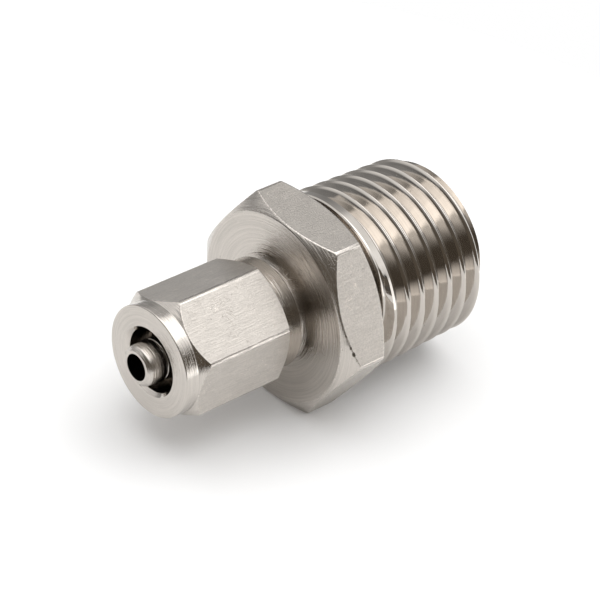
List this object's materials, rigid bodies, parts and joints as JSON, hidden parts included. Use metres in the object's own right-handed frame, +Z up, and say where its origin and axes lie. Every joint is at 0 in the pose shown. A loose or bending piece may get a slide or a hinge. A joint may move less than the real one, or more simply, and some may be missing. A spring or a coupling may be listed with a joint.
{
  "type": "male straight connector",
  "caption": "Straight tube connector: hexagon body with a tapered male pipe thread at one end and a barbed tube stem at the other, with the union nut that clamps the tube.",
  "frame": {"origin": "bottom centre of the bounding box, on the surface that the hexagon's flat rests on, under the middle of the whole length", "axes": "+X along the connector's axis from the tube stem to the pipe thread, +Z up from the flat it lies on"},
  "size_m": [0.0258, 0.016, 0.014],
  "materials": {
    "body_plating": "satin nickel plating over turned brass",
    "nut_plating": "satin nickel plating over turned brass"
  },
  "bodies": {
    "body": {"connector_body": "body_plating"},
    "nut": {"union_nut": "nut_plating"}
  },
  "joints": [
    {"name": "nut_travel", "type": "slide", "parent": "body", "child": "nut", "axis": [-1, 0, 0], "range_m": [-0.00075, 0.00525]}
  ]
}
